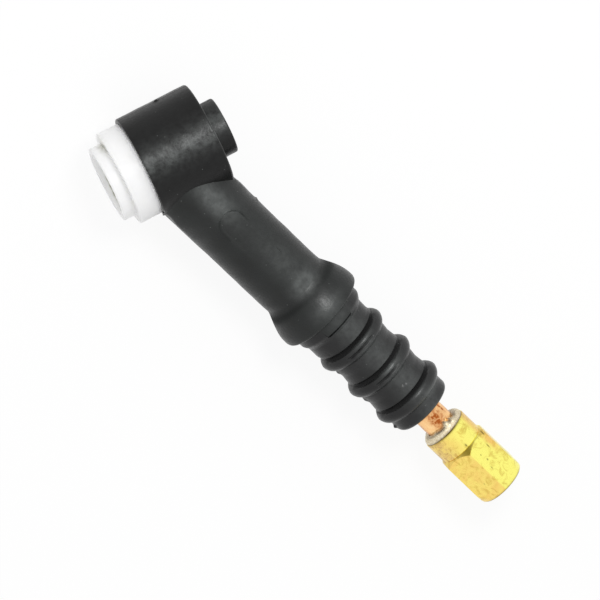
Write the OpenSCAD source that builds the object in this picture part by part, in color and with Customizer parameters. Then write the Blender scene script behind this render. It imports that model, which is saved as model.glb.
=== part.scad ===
// Torch body for TIG welding with a neck that bends by hand, lying on its side.
// Origin: where the head axis crosses the neck axis. +X runs down the neck to the cable
// connector, and +Z is square to the plane of the two axes. Sizes in millimetres.

/* [Head cover] */
// Angle between the head axis and the neck axis, in degrees
head_angle = 70; // [67:1:74]
// Diameter of the moulded head cover
head_d = 22; // [21:0.5:24]
// Reach of the head cover ahead of the origin, along the head axis
head_front = 4.8; // [4.6:0.1:5.4]
// Reach of the head cover behind the origin, along the head axis
head_back = 11.2; // [10.8:0.1:12]
// Rounding of the head cover's two rims
head_rim_r = 0.6; // [0.3:0.1:0.9]
// Diameter of the boss round the back cap's thread
boss_d = 12.1; // [11.8:0.1:13.5]
// Height of that boss above the head cover
boss_h = 3.5; // [2.6:0.1:4.6]
// Rounding of the boss's rim
boss_rim_r = 0.4; // [0.2:0.1:0.5]

/* [Cup insulator] */
// Diameter of the insulator's flange
flange_d = 20.2; // [19:0.2:21]
// Thickness of the flange
flange_w = 4.9; // [4.2:0.1:5.6]
// Diameter of the step that the cup bears on
step_d = 16.2; // [15.4:0.2:17.6]
// Height of that step
step_w = 2.7; // [2.4:0.1:3.4]
// Diameter of the recess in the step's face
recess_d = 13.2; // [12.4:0.2:14]
// Depth of that recess
recess_depth = 1.4; // [0.8:0.1:2]
// Bore that the collet body passes through
insulator_bore_d = 10; // [9.8:0.1:11]
// Diameter of the hub that plugs into the head cover
hub_d = 14.6; // [14.2:0.1:15.4]
// Length of that hub
hub_h = 2.2; // [1.6:0.1:2.8]
// Rounding of the insulator's outer edges
insulator_edge_r = 0.5; // [0.2:0.1:0.7]

/* [Head block] */
// Diameter of the brass block at the collet end
block_d = 12.4; // [12:0.1:13]
// Diameter of the brass block inside the boss
block_neck_d = 10.2; // [9.8:0.1:10.6]
// Setback of the block's nose behind the head cover's front plane
nose_setback = 0.3; // [0.2:0.1:0.6]
// Setback of the block's step inside the head cover's back plane
step_setback = 1.4; // [1:0.1:2]
// Setback of the block's back end inside the boss
tail_setback = 0.5; // [0.2:0.1:0.8]
// Minor diameter of the collet body's thread
collet_thread_d = 8.6; // [8.2:0.1:9.2]
// Depth of the collet body's bore, from the nose
collet_depth = 9.5; // [8:0.5:10.5]
// Minor diameter of the back cap's thread
cap_thread_d = 7.8; // [7.2:0.1:8.2]
// Depth of the back cap's bore
cap_depth = 7; // [6:0.5:8]
// Bore between the two threads, for the collet and the electrode
passage_d = 5.2; // [4.6:0.1:5.8]
// Gas port between the spigot and the collet body's bore
port_d = 4.4; // [4:0.1:4.6]
// Diameter of the spigot that holds the neck's tube
spigot_d = 8.4; // [8.1:0.1:8.6]
// Reach of the spigot along the neck axis
spigot_reach = 15; // [14:0.5:16]

/* [Copper tubes] */
// Outer diameter of the copper tube, quarter-inch gas and power tube
tube_d = 6.4; // [6.2:0.1:6.6]
// Bore of the copper tube
tube_bore_d = 4.8; // [4.4:0.1:5]
// Depth of tube in each brazed socket
socket_depth = 5.5; // [4.5:0.5:6]
// Diameter over the corrugations
bellows_d = 7.9; // [7.4:0.1:8]
// Start of the stretch that bends, along the neck axis
bend_start = 17; // [16.5:0.5:18]
// Length of the stretch that bends
bend_length = 22; // [20:1:22]
// Corrugations in that stretch
bellows_waves = 13; // [10:1:15]
// Wall of the corrugated stretch
bellows_wall = 0.5; // [0.4:0.05:0.6]
// Length of the brass coupling between the two tubes
coupling_length = 11; // [10:0.5:11.5]
// Width of the silver-solder fillets
fillet_w = 0.7; // [0.5:0.1:0.9]
// Thickness of a fillet's thin edge
fillet_edge = 0.25; // [0.15:0.05:0.4]
// Rim left bare round each socket's face
bare_rim = 0.2; // [0.1:0.05:0.4]

/* [Neck boot] */
// Diameter of the neck where it leaves the head
neck_root_d = 15.4; // [15:0.1:16]
// Diameter of the neck at its waist, ahead of the bulge
neck_waist_d = 14.9; // [14.4:0.1:15.2]
// Width of the neck's shoulders at the head, square to the head axis
shoulder_d = 18; // [17:0.2:19]
// Length of those shoulders past the head cover
shoulder_run = 8; // [6:0.5:9]
// Largest diameter of the bulge
bulge_d = 19.2; // [18:0.2:20.4]
// Distance from the waist to the bulge's crest
bulge_rise = 7.2; // [6.6:0.2:8.2]
// Distance from the crest to the boot's back edge
bulge_fall = 1.8; // [1.6:0.1:3]
// Length of the bevel where the neck leaves the head cover's back rim
root_bevel = 3; // [2:0.5:4]
// Bore of the boot round the flexible tube
boot_bore_d = 8.7; // [8.7:0.1:9.1]
// Middle of the label flat, along the neck axis
label_x = 25.4; // [25:0.1:27]
// Offset of the label flat towards the back cap's side
label_y = 0.3; // [-0.5:0.1:0.5]
// Length of the label flat
label_length = 19; // [14:0.5:19]
// Width of the label flat
label_width = 5.6; // [5:0.2:6.4]
// Width of the tongue that keys the boot to the handle seat
tongue_w = 7.2; // [6:0.2:8]
// Offset of the tongue towards the back cap's side
tongue_y = 0.5; // [-1:0.1:1]
// Reach of that tongue past the boot's back edge
tongue_reach = 2.1; // [1.2:0.1:2.4]
// Diameter over the tongue's tip
tongue_d = 15.4; // [15:0.1:15.8]

/* [Handle seat] */
// Diameter of the spigot inside the boot's bulge
seat_spigot_d = 12; // [11.6:0.1:12.6]
// Length of that spigot
seat_spigot_length = 6.5; // [6:0.1:8]
// Diameter of the flange behind the boot
seat_flange_d = 16; // [15.6:0.1:16.4]
// Width of that flange's rim
seat_rim_w = 1.6; // [0.8:0.1:1.8]
// Width of that flange with the slope behind its rim
seat_flange_w = 3.1; // [2.2:0.1:3.4]
// Diameter of the sleeve's cylindrical land
seat_land_d = 14; // [13.8:0.1:14.4]
// Diameter over the ribs that the handle is pushed on to
rib_d = 15.9; // [15.5:0.1:16.2]
// Width of each rib at its foot
rib_w = 3.9; // [3:0.1:4.2]
// Distance from the flange to the first rib
first_rib = 8.1; // [7:0.1:8.8]
// Distance between ribs
rib_pitch = 8.1; // [7.4:0.1:8.4]
// Number of ribs
rib_count = 3; // [2:1:4]
// Depth of the groove ahead of each rib
rib_groove = 0.45; // [0.3:0.05:0.6]
// Smallest diameter between the ribs
seat_waist_d = 13; // [12.8:0.1:13.4]
// Diameter of the sleeve behind the last rib
seat_tail_d = 13.4; // [13:0.1:13.8]
// Sleeve left behind the last rib
seat_tail = 5; // [4:0.1:6]
// Rounding of the sleeve's back rim
seat_rim_r = 0.9; // [0.5:0.1:1.2]

/* [Cable connector] */
// Bare copper between the handle seat and the brazed joint
bare_length = 4.9; // [4:0.1:7]
// Width of the braze ring
braze_w = 1.3; // [0.9:0.1:1.5]
// Diameter of the braze ring
braze_d = 9.7; // [9:0.1:9.8]
// Thickness of the ring's thin edge
braze_edge = 0.1; // [0.05:0.05:0.3]
// Diameter of the connector's collar
collar_d = 10; // [9.8:0.1:10.2]
// Length of the collar
collar_length = 5; // [4.8:0.1:6]
// Depth of tube in the collar
collar_socket = 4.4; // [3.6:0.1:4.6]
// Width of the hexagon across its flats
hex_af = 10.7; // [10.4:0.1:11.2]
// Length of the hexagon
hex_length = 12.2; // [12:0.1:15]
// Length of the cone that takes the corners off the hexagon's near end
hex_lead = 1.5; // [1.2:0.1:2]
// Length of the cone that takes the corners off the hexagon's far end
hex_nose = 2.9; // [2.4:0.1:4]
// Diameter that this cone comes down to
hex_nose_d = 10.4; // [9.8:0.1:10.4]
// Bevel of the far end's rim
end_bevel = 0.3; // [0.1:0.1:0.5]
// Turn of the hexagon about the neck axis, in degrees
hex_turn = 3; // [-30:1:30]
// Minor diameter of the power cable's thread
cable_thread_d = 7; // [6.6:0.1:7.4]
// Depth of that thread
cable_thread_depth = 11; // [9:0.5:11]

/* [Fits] */
// Gap between pieces that are moulded, pressed or brazed together
seat_gap = 0.03; // [0.02:0.01:0.05]
// Gap between the boot and what bends inside it or turns against it
bend_gap = 0.15; // [0.12:0.01:0.3]

/* [Hidden] */
$fn = 96;

eps = 0.01;
past = 1;            // how far a cut runs past the face that it opens
boot_overlap = 4;    // length of boot inside the head's outline, before it is cut to fit
bellows_steps = 8;   // points along one corrugation
waist_share = 0.5;   // place of the waist between two ribs
bulge_soft = 0.3;    // how far the tongue's slope starts below the bulge's crest
corner_clear = 0.3;  // how far the cones' outline stands off the hexagon's corners
rubber_black = "#262829";
rubber_grey = "#3a3d3c";
ptfe_white = "#f4f4f1";
brass = "#d9b445";
copper = "#c9743f";
solder = "#b3a990";

// Stations along the head axis, from the origin towards the back cap
nose_s = nose_setback - head_front;
hub_s = hub_h - head_front;
collet_end_s = nose_s + collet_depth;
boss_s = head_back + boss_h;
tail_s = boss_s - tail_setback;
cap_start_s = tail_s - cap_depth;
block_step_s = head_back - step_setback;

// Stations along the neck axis, from the origin towards the cable connector
tube_start_x = spigot_reach - socket_depth;
bend_end_x = bend_start + bend_length;
coupling_x = bend_end_x + fillet_w;
coupling_end_x = coupling_x + coupling_length;
rear_tube_x = coupling_end_x - socket_depth + 2 * seat_gap;
crest_x = bend_end_x + bulge_rise;
boot_end_x = crest_x + bulge_fall;
tongue_end_x = boot_end_x + tongue_reach;
seat_start_x = boot_end_x - seat_spigot_length;
seat_bore_x = coupling_end_x + fillet_w + seat_gap;
rib_1_x = boot_end_x + first_rib;
last_rib_x = rib_1_x + (rib_count - 1) * rib_pitch;
seat_end_x = last_rib_x + seat_tail;
collar_x = seat_end_x + bare_length + braze_w;
hex_x = collar_x + collar_length;
tube_end_x = collar_x + collar_socket;
connector_end_x = hex_x + hex_length;
thread_end_x = connector_end_x - cable_thread_depth;
shoulder_x = (head_d / 2) / sin(head_angle) - boot_overlap;
shoulder_end_x = shoulder_x + boot_overlap + shoulder_run;
label_share = (label_x - shoulder_x) / (bend_end_x - shoulder_x);
label_r = (neck_root_d + (neck_waist_d - neck_root_d) * label_share) / 2;
label_z = sqrt(pow(label_r, 2) - pow(label_width / 2, 2));

// Puts a piece drawn along +Z on the head axis, its +Z towards the back cap
module on_head_axis() rotate([0, 0, head_angle - 90]) rotate([-90, 0, 0]) children();

// Puts a piece drawn along +Z on the neck axis, its +Z towards the cable connector
module on_neck_axis() rotate([0, 90, 0]) children();

// A round bar from one station to another
module bar(d, from, to) translate([0, 0, from]) cylinder(d = d, h = to - from);

// Corner of a turned profile, rounded about (cx, cy) from angle a0 to a1
function rounded(cx, cy, r, a0, a1) =
    [for (i = [0 : 6]) let (a = a0 + (a1 - a0) * i / 6) [cx + r * cos(a), cy + r * sin(a)]];

// Outline of the bulge: a soft swell from the waist to the crest, then a quarter ellipse down
function bulge_outline() = concat(
    [for (i = [0 : 12]) let (t = i / 12)
        [neck_waist_d / 2 + (bulge_d - neck_waist_d) / 2 * pow(sin(90 * t), 1.2),
         bend_end_x + bulge_rise * t]],
    [for (i = [1 : 8]) let (a = 90 * i / 8)
        [seat_flange_d / 2 + (bulge_d - seat_flange_d) / 2 * cos(a),
         crest_x + bulge_fall * sin(a)]]);

// Corrugated wall at a given middle radius: one cosine wave for each corrugation
function bellows_line(r) = [for (i = [0 : bellows_waves * bellows_steps])
    [r + (bellows_d - tube_d) / 4 * (1 - cos(360 * i / bellows_steps)),
     bend_start + bend_length * i / (bellows_waves * bellows_steps)]];

module cup_insulator() {
    flange_s = -head_front - flange_w;
    face_s = flange_s - step_w;
    r = insulator_edge_r;
    color(ptfe_white) on_head_axis() difference() {
        rotate_extrude() polygon(concat(
            [[0, face_s]],
            rounded(step_d / 2 - r, face_s + r, r, -90, 0),
            [[step_d / 2, flange_s]],
            rounded(flange_d / 2 - r, flange_s + r, r, -90, 0),
            [[flange_d / 2, -head_front], [hub_d / 2, -head_front]],
            [[hub_d / 2, hub_s], [0, hub_s]]));
        bar(insulator_bore_d, face_s - past, nose_s + past);
        bar(recess_d, face_s - past, face_s + recess_depth);
        bar(block_d + 2 * seat_gap, nose_s, hub_s + past);
    }
}

module head_cover() {
    r = head_rim_r;
    br = boss_rim_r;
    color(rubber_black) difference() {
        on_head_axis() difference() {
            rotate_extrude() polygon(concat(
                [[0, -head_front]],
                rounded(head_d / 2 - r / 2, -head_front + r / 2, r / 2, -90, 0),
                rounded(head_d / 2 - r, head_back - r, r, 0, 90),
                [[boss_d / 2, head_back]],
                rounded(boss_d / 2 - br, boss_s - br, br, 0, 90),
                [[0, boss_s]]));
            bar(block_d + 2 * seat_gap, -head_front - past, block_step_s);
            bar(block_neck_d + 2 * seat_gap, head_front, boss_s + past);
            bar(hub_d + 2 * seat_gap, -head_front - past, hub_s + seat_gap);
        }
        on_neck_axis() bar(spigot_d + 2 * seat_gap, 0, head_d);
    }
}

module head_block() {
    color(brass) difference() {
        union() {
            on_head_axis() bar(block_d, nose_s, block_step_s);
            on_head_axis() bar(block_neck_d, nose_s, tail_s);
            on_neck_axis() bar(spigot_d, 0, spigot_reach);
        }
        on_head_axis() {
            bar(collet_thread_d, nose_s - past, collet_end_s);
            bar(passage_d, nose_s, tail_s);
            bar(cap_thread_d, cap_start_s, tail_s + past);
        }
        on_neck_axis() {
            bar(port_d, 0, spigot_reach);
            bar(tube_d + 2 * seat_gap, tube_start_x, spigot_reach + past);
        }
    }
}

// Solder fillet round the tube: a cone from a socket's face down to the tube
module solder_fillet() difference() {
    cylinder(d1 = spigot_d - 2 * bare_rim, d2 = tube_d + 2 * fillet_edge, h = fillet_w);
    bar(tube_d + 2 * seat_gap, -past, fillet_w + past);
}

module head_braze() {
    color(solder) on_neck_axis() translate([0, 0, spigot_reach]) solder_fillet();
}

module flex_tube() {
    outer = tube_d / 2;
    inner = outer - bellows_wall;
    cuff_start = tube_start_x + seat_gap;
    cuff_end = coupling_x + socket_depth - seat_gap;
    color(copper) on_neck_axis() rotate_extrude() polygon(concat(
        [[inner, cuff_start], [outer, cuff_start]],
        bellows_line(outer),
        [[outer, cuff_end], [inner, cuff_end]],
        [for (i = [bellows_waves * bellows_steps : -1 : 0]) bellows_line(inner)[i]]));
}

// The boot's tongue fills the handle seat's keyway, and slopes down from the bulge
module tongue() intersection() {
    on_neck_axis() translate([0, 0, crest_x])
        cylinder(d1 = bulge_d - 2 * bulge_soft, d2 = tongue_d, h = bulge_fall + tongue_reach);
    translate([crest_x, tongue_y - tongue_w / 2, 0])
        cube([bulge_fall + tongue_reach, tongue_w, bulge_d]);
}

module neck_boot() {
    color(rubber_grey) difference() {
        union() {
            on_neck_axis() rotate_extrude() polygon(concat(
                [[0, shoulder_x], [neck_root_d / 2, shoulder_x]],
                bulge_outline(),
                [[0, boot_end_x]]));
            intersection() {
                on_neck_axis() translate([0, 0, shoulder_x])
                    cylinder(d1 = shoulder_d, d2 = neck_waist_d, h = shoulder_end_x - shoulder_x);
                translate([shoulder_x, -neck_root_d / 2 + eps, -shoulder_d])
                    cube([shoulder_end_x - shoulder_x, neck_root_d - 2 * eps, 2 * shoulder_d]);
            }
            tongue();
        }
        on_head_axis() bar(head_d + 2 * bend_gap, -2 * head_d, 2 * head_d);
        on_head_axis() root_cone();
        on_neck_axis() {
            bar(boot_bore_d, 0, tongue_end_x + past);
            bar(seat_spigot_d + 2 * seat_gap, seat_start_x, tongue_end_x + past);
        }
        label_cut();
    }
}

// Behind the head cover the neck starts at the cover's back rim and rises half as far as it runs
module root_cone() {
    d = head_d + 2 * bend_gap;
    translate([0, 0, head_back]) cylinder(d1 = d, d2 = d + root_bevel, h = root_bevel);
}

// Stadium-shaped flat on the side of the neck
module label_cut() {
    end = (label_length - label_width) / 2;
    depth = neck_waist_d / 2;
    translate([label_x, label_y, label_z]) {
        for (side = [-1, 1]) translate([side * end, 0, 0]) cylinder(d = label_width, h = depth);
        translate([-end, -label_width / 2, 0]) cube([2 * end, label_width, depth]);
    }
}

module neck_coupling() {
    color(brass) on_neck_axis() difference() {
        bar(spigot_d, coupling_x, coupling_end_x);
        bar(tube_bore_d, coupling_x - past, coupling_end_x + past);
        bar(tube_d + 2 * seat_gap, coupling_x - past, coupling_x + socket_depth);
        bar(tube_d + 2 * seat_gap, rear_tube_x - seat_gap, coupling_end_x + past);
    }
}

module coupling_braze() {
    color(solder) on_neck_axis() {
        translate([0, 0, coupling_x]) mirror([0, 0, 1]) solder_fillet();
        translate([0, 0, coupling_end_x]) solder_fillet();
    }
}

// Sleeve between two ribs: a parabola that dips to the waist and flares to the land's diameter
function waisted(x0, x1) = [for (i = [0 : 10]) let (t = i / 10, away = t - waist_share)
    [seat_waist_d / 2 + (seat_land_d - seat_waist_d) / 2 * pow(away / (1 - waist_share), 2),
     x0 + (x1 - x0) * t]];

module handle_seat() {
    r = seat_rim_r;
    color(rubber_grey) on_neck_axis() difference() {
        union() {
            rotate_extrude() polygon(concat(
                [[0, seat_start_x], [seat_spigot_d / 2, seat_start_x]],
                [[seat_spigot_d / 2, boot_end_x], [seat_flange_d / 2, boot_end_x]],
                [[seat_flange_d / 2, boot_end_x + seat_rim_w]],
                [[seat_land_d / 2, boot_end_x + seat_flange_w]],
                [for (i = [0 : rib_count - 2]) each waisted(rib_x(i), rib_x(i + 1))],
                [[seat_tail_d / 2, last_rib_x]],
                rounded(seat_tail_d / 2 - r, seat_end_x - r, r, 0, 90),
                [[0, seat_end_x]]));
            for (i = [0 : rib_count - 1]) translate([0, 0, rib_x(i)]) rib();
        }
        for (i = [0 : rib_count - 1]) translate([0, 0, rib_x(i) - rib_w / 2]) rib_undercut();
        bar(tube_d + 2 * seat_gap, seat_start_x - past, seat_end_x + past);
        bar(spigot_d + 2 * seat_gap, seat_start_x - past, seat_bore_x);
        keyway();
    }
}

// Middle of a rib, along the neck axis
function rib_x(i) = rib_1_x + i * rib_pitch;

// One bead rib: a half round, sunk in the sleeve to its widest
module rib() rotate_extrude() translate([(rib_d - rib_w) / 2, 0]) circle(d = rib_w, $fn = 40);

// Groove that undercuts a rib on the side towards the boot
module rib_undercut()
    rotate_extrude() translate([seat_land_d / 2, 0]) circle(r = rib_groove, $fn = 24);

// Keyway in the seat's flange for the boot's tongue
module keyway() difference() {
    translate([-seat_flange_d, tongue_y - tongue_w / 2 - seat_gap, boot_end_x - eps])
        cube([seat_flange_d, tongue_w + 2 * seat_gap, tongue_reach + bend_gap]);
    bar(seat_spigot_d, boot_end_x - past, tongue_end_x + past);
}

module rear_tube() {
    color(copper) on_neck_axis() difference() {
        bar(tube_d, rear_tube_x, tube_end_x);
        bar(tube_bore_d, rear_tube_x - past, tube_end_x + past);
    }
}

module braze_ring() {
    thin_r = tube_d / 2 + braze_edge;
    color(solder) on_neck_axis() difference() {
        translate([0, 0, collar_x]) mirror([0, 0, 1]) rotate_extrude() polygon(concat(
            [[0, 0], [braze_d / 2, 0]],
            [for (i = [1 : 6]) let (a = 15 * i)
                [thin_r + (braze_d / 2 - thin_r) * cos(a), braze_w * sin(a)]],
            [[0, braze_w]]));
        bar(tube_d + 2 * seat_gap, collar_x - braze_w - past, collar_x + past);
    }
}

module cable_connector() {
    corner_r = hex_af / 2 / cos(30);
    clear_r = corner_r + corner_clear;
    nose_r = hex_nose_d / 2;
    nose_x = connector_end_x - hex_nose * (clear_r - nose_r) / (corner_r - nose_r);
    color(brass) on_neck_axis() difference() {
        union() {
            bar(collar_d, collar_x, hex_x + hex_lead);
            intersection() {
                rotate([0, 0, hex_turn]) translate([0, 0, hex_x])
                    cylinder(r = corner_r, h = hex_length, $fn = 6);
                rotate_extrude() polygon([
                    [0, hex_x - eps], [collar_d / 2 + eps, hex_x - eps],
                    [clear_r, hex_x + hex_lead], [clear_r, nose_x],
                    [nose_r, connector_end_x - end_bevel],
                    [nose_r - end_bevel, connector_end_x + eps], [0, connector_end_x + eps]]);
            }
        }
        bar(tube_d + 2 * seat_gap, collar_x - past, tube_end_x + seat_gap);
        bar(tube_bore_d, collar_x - past, connector_end_x);
        bar(cable_thread_d, thread_end_x, connector_end_x + past);
    }
}

cup_insulator();
head_cover();
head_block();
head_braze();
flex_tube();
neck_boot();
neck_coupling();
coupling_braze();
handle_seat();
rear_tube();
braze_ring();
cable_connector();
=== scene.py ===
import math

import bpy
import numpy as np
from mathutils import Matrix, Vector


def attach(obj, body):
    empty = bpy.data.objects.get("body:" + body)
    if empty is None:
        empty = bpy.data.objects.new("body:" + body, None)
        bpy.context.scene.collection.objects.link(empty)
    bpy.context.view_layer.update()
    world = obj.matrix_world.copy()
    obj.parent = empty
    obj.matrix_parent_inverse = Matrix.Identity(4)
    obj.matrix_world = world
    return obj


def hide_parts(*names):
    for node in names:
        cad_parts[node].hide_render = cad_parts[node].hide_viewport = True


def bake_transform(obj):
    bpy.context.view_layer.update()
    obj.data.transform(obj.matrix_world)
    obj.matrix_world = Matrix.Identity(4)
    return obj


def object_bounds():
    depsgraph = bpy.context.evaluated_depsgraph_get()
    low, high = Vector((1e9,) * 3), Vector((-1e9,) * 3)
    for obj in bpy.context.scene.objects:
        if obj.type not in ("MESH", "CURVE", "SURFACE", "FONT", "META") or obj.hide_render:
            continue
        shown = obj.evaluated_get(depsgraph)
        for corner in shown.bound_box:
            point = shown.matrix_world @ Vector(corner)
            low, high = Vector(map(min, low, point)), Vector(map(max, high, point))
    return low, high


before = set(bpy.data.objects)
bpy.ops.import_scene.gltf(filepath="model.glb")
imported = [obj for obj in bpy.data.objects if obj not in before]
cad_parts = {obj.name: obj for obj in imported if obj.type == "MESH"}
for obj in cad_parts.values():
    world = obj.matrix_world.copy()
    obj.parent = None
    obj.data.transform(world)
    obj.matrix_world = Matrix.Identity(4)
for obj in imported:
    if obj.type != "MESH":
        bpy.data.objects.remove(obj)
cad_low, cad_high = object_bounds()


# ---------------------------------------------------------------------------------------------
# Camera. It stands far off and looks down on the torch body, which lies on its side with the
# neck running down to the right. Lengths here are millimetres, which `mm` turns to metres.

mm = 0.001
view_tilt = math.radians(17)       # of the sight line, from straight above towards the head
neck_slope = math.radians(43.68)   # of the neck as the camera sees it, down to the right
camera_distance = 4500
view_width = 121.93                # at the distance of the origin
view_centre = (28.317, -29.007)    # to the right of the origin and above it


def standing(place, right, up, back):
    """Matrix of a camera or lamp at a place, with its axes pointing right, up and back."""
    rows = zip(np.stack([right, up, back], axis=1), place)
    return Matrix([[*axes, here] for axes, here in rows] + [[0, 0, 0, 1]])


toward_camera = np.array([-math.sin(view_tilt), 0, math.cos(view_tilt)])
across = np.array([math.cos(view_tilt), 0, math.sin(view_tilt)])
view_right = math.cos(neck_slope) * across + math.sin(neck_slope) * np.array([0, 1, 0])
view_up = np.cross(toward_camera, view_right)
stand = (view_centre[0] * view_right + view_centre[1] * view_up
         + camera_distance * toward_camera) * mm

camera_data = bpy.data.cameras.new("camera")
camera_data.sensor_width = 36
camera_data.lens = camera_data.sensor_width * camera_distance / view_width
camera_data.clip_start = 0.1
camera_data.clip_end = 50
camera = bpy.data.objects.new("camera", camera_data)
bpy.context.scene.collection.objects.link(camera)
camera.matrix_world = standing(stand, view_right, view_up, toward_camera)
bpy.context.scene.camera = camera
bpy.context.scene.view_settings.view_transform = "Standard"


# ---------------------------------------------------------------------------------------------
# Floor and light. A pale floor carries the torch body, a large soft lamp hangs above it on the
# head's side and a little beyond it, and the room around is white. What the camera and the
# polished metal see of floor and room is white, and the floor keeps part of the shadow.

floor_half = 6                     # metres
floor_drop = 0.02
lamp_direction = np.array([-0.29, 0.37, 0.88])
lamp_distance = 460
lamp_size = 150
lamp_share = 0.38                  # of the light on a face turned to the lamp
room_share = 0.68
floor_white_share = 0.9


def linear(code):
    """Linear RGBA of an sRGB hex colour: the sRGB curve undone channel by channel."""
    coded = np.array([int(code[i:i + 2], 16) for i in (1, 3, 5)]) / 255
    straight = np.where(coded <= 0.04045, coded / 12.92, ((coded + 0.055) / 1.055) ** 2.4)
    return (*straight.tolist(), 1.0)


def add(tree, kind, sockets=(), **settings):
    """Adds a node with its settings, and gives each socket a value or another node's output.
    Sockets are named, or listed from the first, and a node stands for its first output."""
    made = tree.nodes.new("ShaderNode" + kind)
    for name, value in settings.items():
        setattr(made, name, value)
    named = sockets if isinstance(sockets, dict) else dict(enumerate(sockets))
    for name, value in named.items():
        if isinstance(value, bpy.types.Node):
            value = value.outputs[0]
        if isinstance(value, bpy.types.NodeSocket):
            tree.links.new(value, made.inputs[name])
        else:
            made.inputs[name].default_value = value
    return made


def blank_tree(owner):
    """Turns on the owner's nodes, empties them, and returns the tree."""
    owner.use_nodes = True
    owner.node_tree.nodes.clear()
    return owner.node_tree


def seen_directly(tree):
    """1 where the ray comes from the camera, a glossy surface or through a clear one."""
    path = add(tree, "LightPath").outputs
    either = add(tree, "Math", [path["Is Camera Ray"], path["Is Glossy Ray"]],
                 operation="MAXIMUM")
    return add(tree, "Math", [either, path["Is Transmission Ray"]], operation="MAXIMUM")


room = bpy.data.worlds.new("white_room")
bpy.context.scene.world = room
tree = blank_tree(room)
soft_light = add(tree, "Background", {"Color": linear("#ffffff"), "Strength": room_share})
white_wall = add(tree, "Background", {"Color": linear("#ffffff"), "Strength": 1.0})
walls = add(tree, "MixShader", [seen_directly(tree), soft_light, white_wall])
add(tree, "OutputWorld", {"Surface": walls})

floor_height = cad_low[2] - floor_drop * mm
floor_mesh = bpy.data.meshes.new("floor")
floor_mesh.from_pydata([(x * floor_half, y * floor_half, floor_height)
                        for x, y in ((-1, -1), (1, -1), (1, 1), (-1, 1))], [], [(0, 1, 2, 3)])
floor = bpy.data.objects.new("floor", floor_mesh)
bpy.context.scene.collection.objects.link(floor)
floor_paint = bpy.data.materials.new("white_painted_floor")
tree = blank_tree(floor_paint)
paint = add(tree, "BsdfDiffuse", {"Color": linear("#ffffff")})
glow = add(tree, "Emission", {"Color": linear("#ffffff"), "Strength": 1.0})
share = add(tree, "Math", [seen_directly(tree), floor_white_share], operation="MULTIPLY")
surface = add(tree, "MixShader", [share, paint, glow])
from_below = add(tree, "NewGeometry").outputs["Backfacing"]
surface = add(tree, "MixShader", [from_below, surface, add(tree, "BsdfTransparent")])
add(tree, "OutputMaterial", {"Surface": surface})
floor_mesh.materials.append(floor_paint)

lamp_data = bpy.data.lights.new("soft_lamp", "AREA")
lamp_data.shape = "DISK"
lamp_data.size = lamp_size * mm
lamp_data.energy = lamp_share * (math.pi * lamp_distance * mm) ** 2
lamp = bpy.data.objects.new("soft_lamp", lamp_data)
bpy.context.scene.collection.objects.link(lamp)
torch_middle = np.array((cad_low + cad_high) / 2)
lamp_direction = lamp_direction / np.linalg.norm(lamp_direction)
lamp_side = np.cross([0, 1, 0], lamp_direction)
lamp_side = lamp_side / np.linalg.norm(lamp_side)
lamp.matrix_world = standing(torch_middle + lamp_direction * lamp_distance * mm, lamp_side,
                             np.cross(lamp_direction, lamp_side), lamp_direction)
lamp.visible_camera = False


# ---------------------------------------------------------------------------------------------
# Cup insulator. A ring of virgin PTFE turned on a lathe: a hub that plugs into the head, a wide
# flange, and a step with a shallow recess in its face that the ceramic cup bears on.

head_angle = math.radians(70)
head_axis = np.array([math.cos(head_angle), math.sin(head_angle), 0])
head_side = np.array([math.sin(head_angle), -math.cos(head_angle), 0])   # towards the neck
head_way = (head_axis, head_side)
top = np.array([0, 0, 1.0])

insulator_face = -12.4
flange_front = -9.7
head_front = -4.8
block_nose = -4.5
hub_end = -2.6
flange_r = 10.1
step_r = 8.1
recess_r = 6.6
recess_floor = -11.0
insulator_bore_r = 5.0
hub_r = 7.3
hub_bore_r = 6.23
hub_chamfer = 0.2
insulator_edge = 0.15
groove_w = 0.16                    # of the groove in the corner between step and flange
groove_d = 0.1
groove_slope = 0.06
insulator_lip = 0.12
insulator_columns = 288
insulator_row = 0.2


def arc(station, radius, size, start, end, count=6):
    """Points of an arc about (station, radius): station + size cos a, radius + size sin a."""
    turn = np.radians(np.linspace(start, end, count))
    return np.stack([station + size * np.cos(turn), radius + size * np.sin(turn)], axis=1)


def outline(parts, step, closed=True):
    """Outline through points and arcs, with points at most `step` apart between them, as a
    column of stations and one of radii. A closed one goes on from its last corner to its first."""
    corners = np.concatenate([np.atleast_2d(part) for part in parts])
    ahead = np.roll(corners, -1, axis=0)
    counts = np.maximum(1, np.ceil(np.linalg.norm(ahead - corners, axis=1) / step)).astype(int)
    counts[-1] = counts[-1] if closed else 1
    share = np.concatenate([np.arange(count) / count for count in counts])[:, None]
    start, end = np.repeat(corners, counts, axis=0), np.repeat(ahead, counts, axis=0)
    return (start + (end - start) * share).T[..., None]


def around(columns):
    """Angles of the columns round an axis, from the top towards its side."""
    return np.arange(columns) * 2 * math.pi / columns


def turned(turns, way, *rows):
    """Points at station along the axis plus radius times (cos turn · top + sin turn · side), for
    pairs of stations and radii, each pair's rows after those of the last."""
    axis, side = way
    outwards = np.cos(turns)[:, None] * top + np.sin(turns)[:, None] * side
    return np.concatenate([
        np.atleast_2d(stations)[..., None] * axis + np.atleast_2d(radii)[..., None] * outwards
        for stations, radii in rows])


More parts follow.
